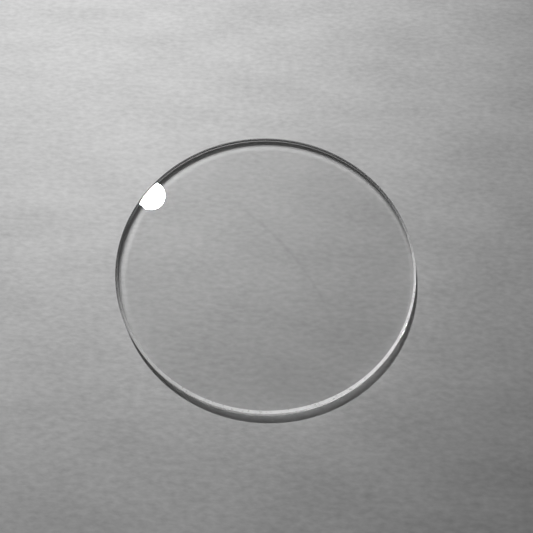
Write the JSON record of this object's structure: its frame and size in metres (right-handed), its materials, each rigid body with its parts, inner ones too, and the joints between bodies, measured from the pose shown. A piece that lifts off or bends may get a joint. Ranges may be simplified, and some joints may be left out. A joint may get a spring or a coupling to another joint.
{
  "type": "watch crystal",
  "caption": "Flat round glass watch crystal: clear disc with polished faces, a ground rim, a bevel round the outer face and a narrow one round the inner face. It is pressed into a gasket to cover the dial.",
  "frame": {"origin": "centre of the underside, the face that looks at the dial", "axes": "+Z along the disc's axis, out of the watch towards the wearer; X and Y lie in the underside"},
  "size_m": [0.038, 0.038, 0.0014],
  "materials": {
    "clear_glass": "polished faces, fine ground rim"
  },
  "bodies": {
    "root": {"crystal": "clear_glass"}
  },
  "joints": []
}
